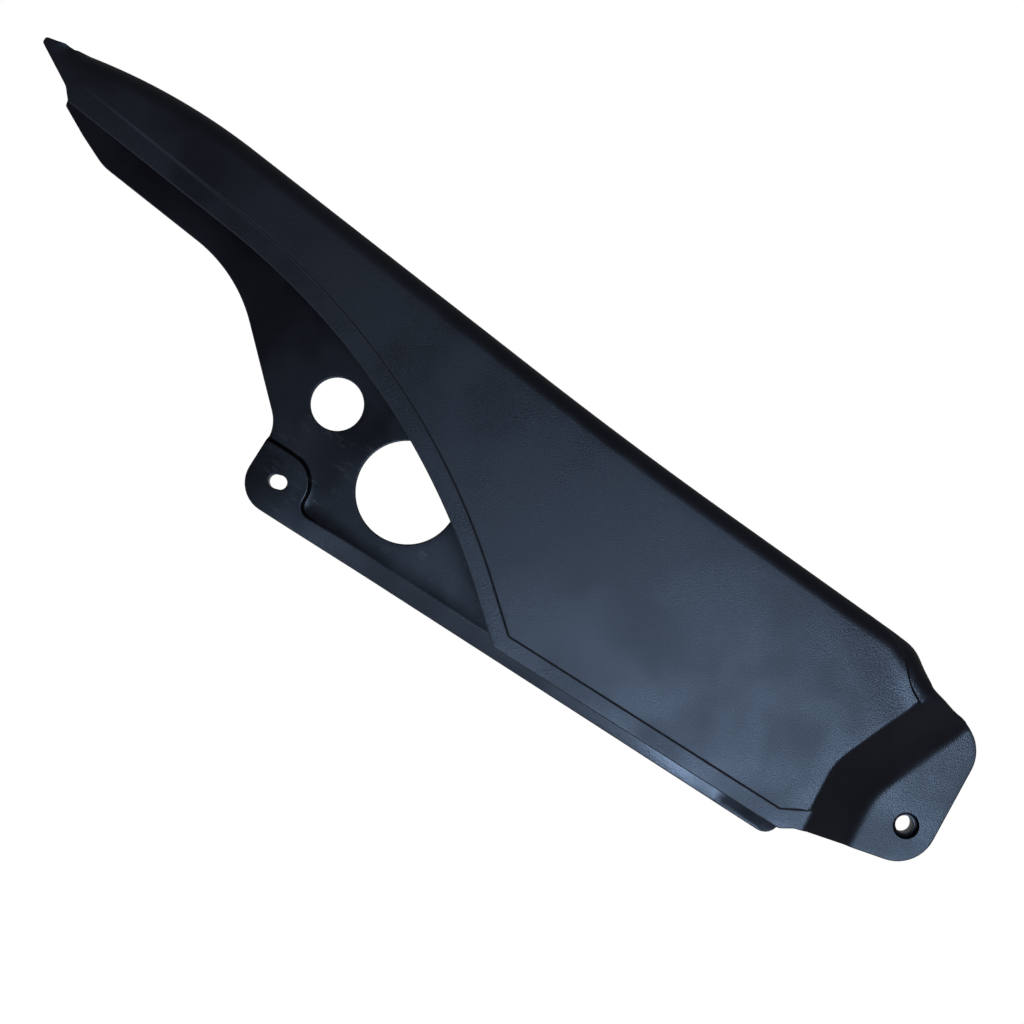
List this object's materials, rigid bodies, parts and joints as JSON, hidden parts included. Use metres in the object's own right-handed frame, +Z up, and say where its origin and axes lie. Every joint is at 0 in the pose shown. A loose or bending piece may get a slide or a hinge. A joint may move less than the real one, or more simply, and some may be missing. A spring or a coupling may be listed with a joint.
{
  "type": "motorcycle chain guard",
  "caption": "One-piece moulded plastic chain guard: an open channel with a tapered outer panel, a drilled inner wall, a slotted rear tab and a set-back front bolt tab.",
  "frame": {"origin": "centre of the front bolt hole, on the outer face of the front tab", "axes": "+X points to the front end of the guard, +Z up to the top wall, -Y out of the outer panel, towards the bolt's head"},
  "size_m": [0.5455, 0.0525, 0.1456],
  "materials": {
    "black_plastic": "black injection-moulded plastic, finely grained satin on the outer face, smoother and scuffed on the inner wall"
  },
  "bodies": {
    "root": {"chain_guard": "black_plastic"}
  },
  "joints": []
}
